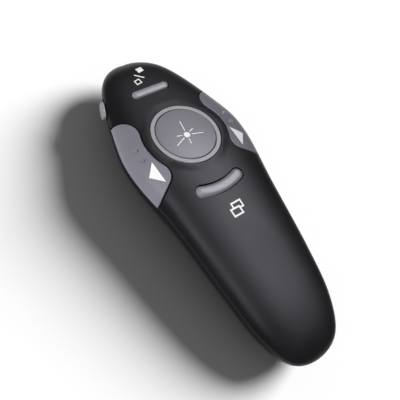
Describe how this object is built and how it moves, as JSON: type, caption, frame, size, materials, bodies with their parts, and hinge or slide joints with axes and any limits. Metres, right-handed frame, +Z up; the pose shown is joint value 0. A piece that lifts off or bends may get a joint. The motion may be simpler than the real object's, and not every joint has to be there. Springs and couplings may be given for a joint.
{
  "type": "wireless presentation clicker",
  "caption": "Handheld presentation clicker with a ringed laser button, two wing-shaped page keys, bar buttons, a power slide, a stowed USB receiver and a AAA bay under a sliding door.",
  "frame": {"origin": "centre of the footprint at the flat of the underside, on the table", "axes": "+Y runs along the body to the laser nose, +Z points up through the keys, +X is the object's right with its nose pointing away from the holder"},
  "size_m": [0.041, 0.1058, 0.0202],
  "materials": {
    "body_black": "satin soft-touch coating",
    "ring_grey": "satin",
    "button_plum": "satin",
    "key_plum": "satin",
    "button_grey": "semi-gloss",
    "knob_grey": "satin",
    "bezel_black": "semi-gloss",
    "window_red": "polished",
    "barrel_brass": "turned",
    "lens_clear": "polished",
    "diode_gold": "plated",
    "board_green": "solder mask",
    "switch_black": "moulded",
    "plunger_white": "moulded",
    "switch_steel": "stamped",
    "chip_black": "moulded",
    "ferrite_grey": "sintered",
    "capacitor_tan": "sintered",
    "trace_copper": "etched",
    "cell_steel": "drawn",
    "sleeve_green": "shrink film",
    "contact_nickel": "nickel plated",
    "lead_black": "insulated wire",
    "receiver_black": "satin",
    "plug_steel": "stamped",
    "tongue_white": "moulded",
    "screw_black": "blackened",
    "screw_steel": "plated"
  },
  "bodies": {
    "case": {"top_cover": "body_black", "bottom_cover": "body_black", "laser_ring": "ring_grey", "aperture_bezel": "bezel_black", "laser_window": "window_red", "laser_barrel": "barrel_brass", "laser_lens": "lens_clear", "laser_diode": "diode_gold", "main_board": "board_green", "switch_cases": "switch_black", "slide_switch_case": "switch_steel", "radio_chip": "chip_black", "boost_inductor": "ferrite_grey", "crystal": "switch_steel", "chip_capacitors": "capacitor_tan", "antenna_trace": "trace_copper", "battery_cell": "cell_steel", "battery_sleeve": "sleeve_green", "negative_spring": "contact_nickel", "negative_plate": "contact_nickel", "positive_plate": "contact_nickel", "negative_lead": "lead_black", "case_screws": "screw_black", "board_screws": "screw_steel"},
    "laser_button_body": {"laser_button": "button_plum", "laser_plunger": "plunger_white"},
    "black_screen_button_body": {"black_screen_button": "button_grey", "black_screen_plunger": "plunger_white"},
    "window_button_body": {"window_button": "button_grey", "window_plunger": "plunger_white"},
    "previous_page_key_body": {"previous_page_key": "key_plum"},
    "next_page_key_body": {"next_page_key": "key_plum"},
    "previous_page_plunger_body": {"previous_page_plunger": "plunger_white"},
    "next_page_plunger_body": {"next_page_plunger": "plunger_white"},
    "power_slider": {"power_slide_knob": "knob_grey", "slide_switch_lever": "switch_black"},
    "battery_door_body": {"battery_door": "body_black"},
    "receiver": {"receiver_housing": "receiver_black", "receiver_plug": "plug_steel", "receiver_tongue": "tongue_white"}
  },
  "joints": [
    {"name": "laser_button_press", "type": "slide", "parent": "case", "child": "laser_button_body", "axis": [0, -0.1392, -0.9903], "range_m": [0, 0.0004], "stiffness_N_per_m": 700, "springref_m": -0.0012},
    {"name": "black_screen_button_press", "type": "slide", "parent": "case", "child": "black_screen_button_body", "axis": [0, 0, -1], "range_m": [0, 0.0004], "stiffness_N_per_m": 700, "springref_m": -0.0012},
    {"name": "window_button_press", "type": "slide", "parent": "case", "child": "window_button_body", "axis": [0, 0, -1], "range_m": [0, 0.0004], "stiffness_N_per_m": 700, "springref_m": -0.0012},
    {"name": "previous_page_key_press", "type": "hinge", "parent": "case", "child": "previous_page_key_body", "pos_m": [-0.0139, 0.0299, 0.01395], "axis": [1, 0, 0], "range_deg": [0, 0.8], "stiffness_Nm_per_rad": 0.34, "springref_deg": -2.86},
    {"name": "next_page_key_press", "type": "hinge", "parent": "case", "child": "next_page_key_body", "pos_m": [0.0139, 0.0299, 0.01395], "axis": [1, 0, 0], "range_deg": [0, 0.8], "stiffness_Nm_per_rad": 0.34, "springref_deg": -2.86},
    {"name": "previous_page_plunger_slide", "type": "slide", "parent": "case", "child": "previous_page_plunger_body", "axis": [0, 0, -1], "range_m": [0, 0.00024]},
    {"name": "next_page_plunger_slide", "type": "slide", "parent": "case", "child": "next_page_plunger_body", "axis": [0, 0, -1], "range_m": [0, 0.00024]},
    {"name": "power_slide", "type": "slide", "parent": "case", "child": "power_slider", "axis": [0.3622, 0.9321, 0], "range_m": [0, 0.002]},
    {"name": "battery_door_slide", "type": "slide", "parent": "case", "child": "battery_door_body", "axis": [0, -1, 0], "range_m": [0, 0.006]},
    {"name": "receiver_pull", "type": "slide", "parent": "case", "child": "receiver", "axis": [0, 0, -1], "range_m": [0, 0.012]}
  ],
  "couplings": [
    {"joint": "previous_page_plunger_slide", "follows": "previous_page_key_press", "m_per_rad": 0.0169},
    {"joint": "next_page_plunger_slide", "follows": "next_page_key_press", "m_per_rad": 0.0169}
  ]
}
